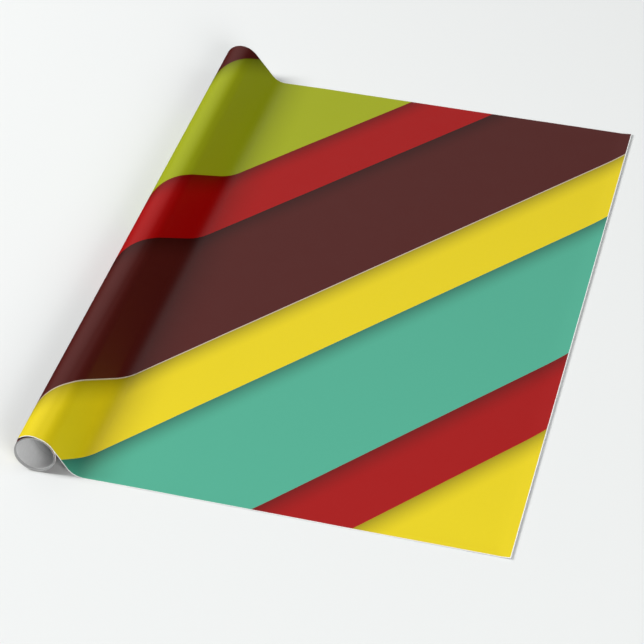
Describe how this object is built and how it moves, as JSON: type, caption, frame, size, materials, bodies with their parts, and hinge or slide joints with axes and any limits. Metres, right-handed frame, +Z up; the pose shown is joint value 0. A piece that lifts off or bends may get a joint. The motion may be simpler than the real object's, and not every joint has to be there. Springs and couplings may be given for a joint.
{
  "type": "wrapping paper roll",
  "caption": "Partly unrolled gift-wrap roll: a wide printed paper sheet runs flat, curves up over the roll and winds onto a paperboard core that turns as the roll travels.",
  "frame": {"origin": "on the table, under the middle of the whole object", "axes": "+X along the unrolled paper towards its free end, +Y along the roll, +Z up"},
  "size_m": [0.5266, 0.762, 0.0472],
  "materials": {
    "printed_paper": "satin print on the outer face, plain white back and cut edges",
    "wound_paper": "white cut edges of the tight turns, printed on the outer face",
    "core_board": "uncoated grey-white paperboard, spiral wound"
  },
  "bodies": {
    "sheet": {"flat_sheet": "printed_paper"},
    "lead": {"lead_curve": "printed_paper", "outer_turn": "printed_paper"},
    "coil": {"wound_coil": "wound_paper", "core_tube": "core_board"}
  },
  "joints": [
    {"name": "unroll", "type": "slide", "parent": "sheet", "child": "lead", "axis": [-1, 0, 0], "range_m": [-0.28, 1.1], "deforming": ["flat_sheet"]},
    {"name": "coil_spin", "type": "hinge", "parent": "lead", "child": "coil", "pos_m": [-0.24039, 0, 0.0229], "axis": [0, 1, 0], "range_deg": [-715, 2805]}
  ],
  "couplings": [
    {"joint": "coil_spin", "follows": "unroll", "rad_per_m": 44.475}
  ]
}
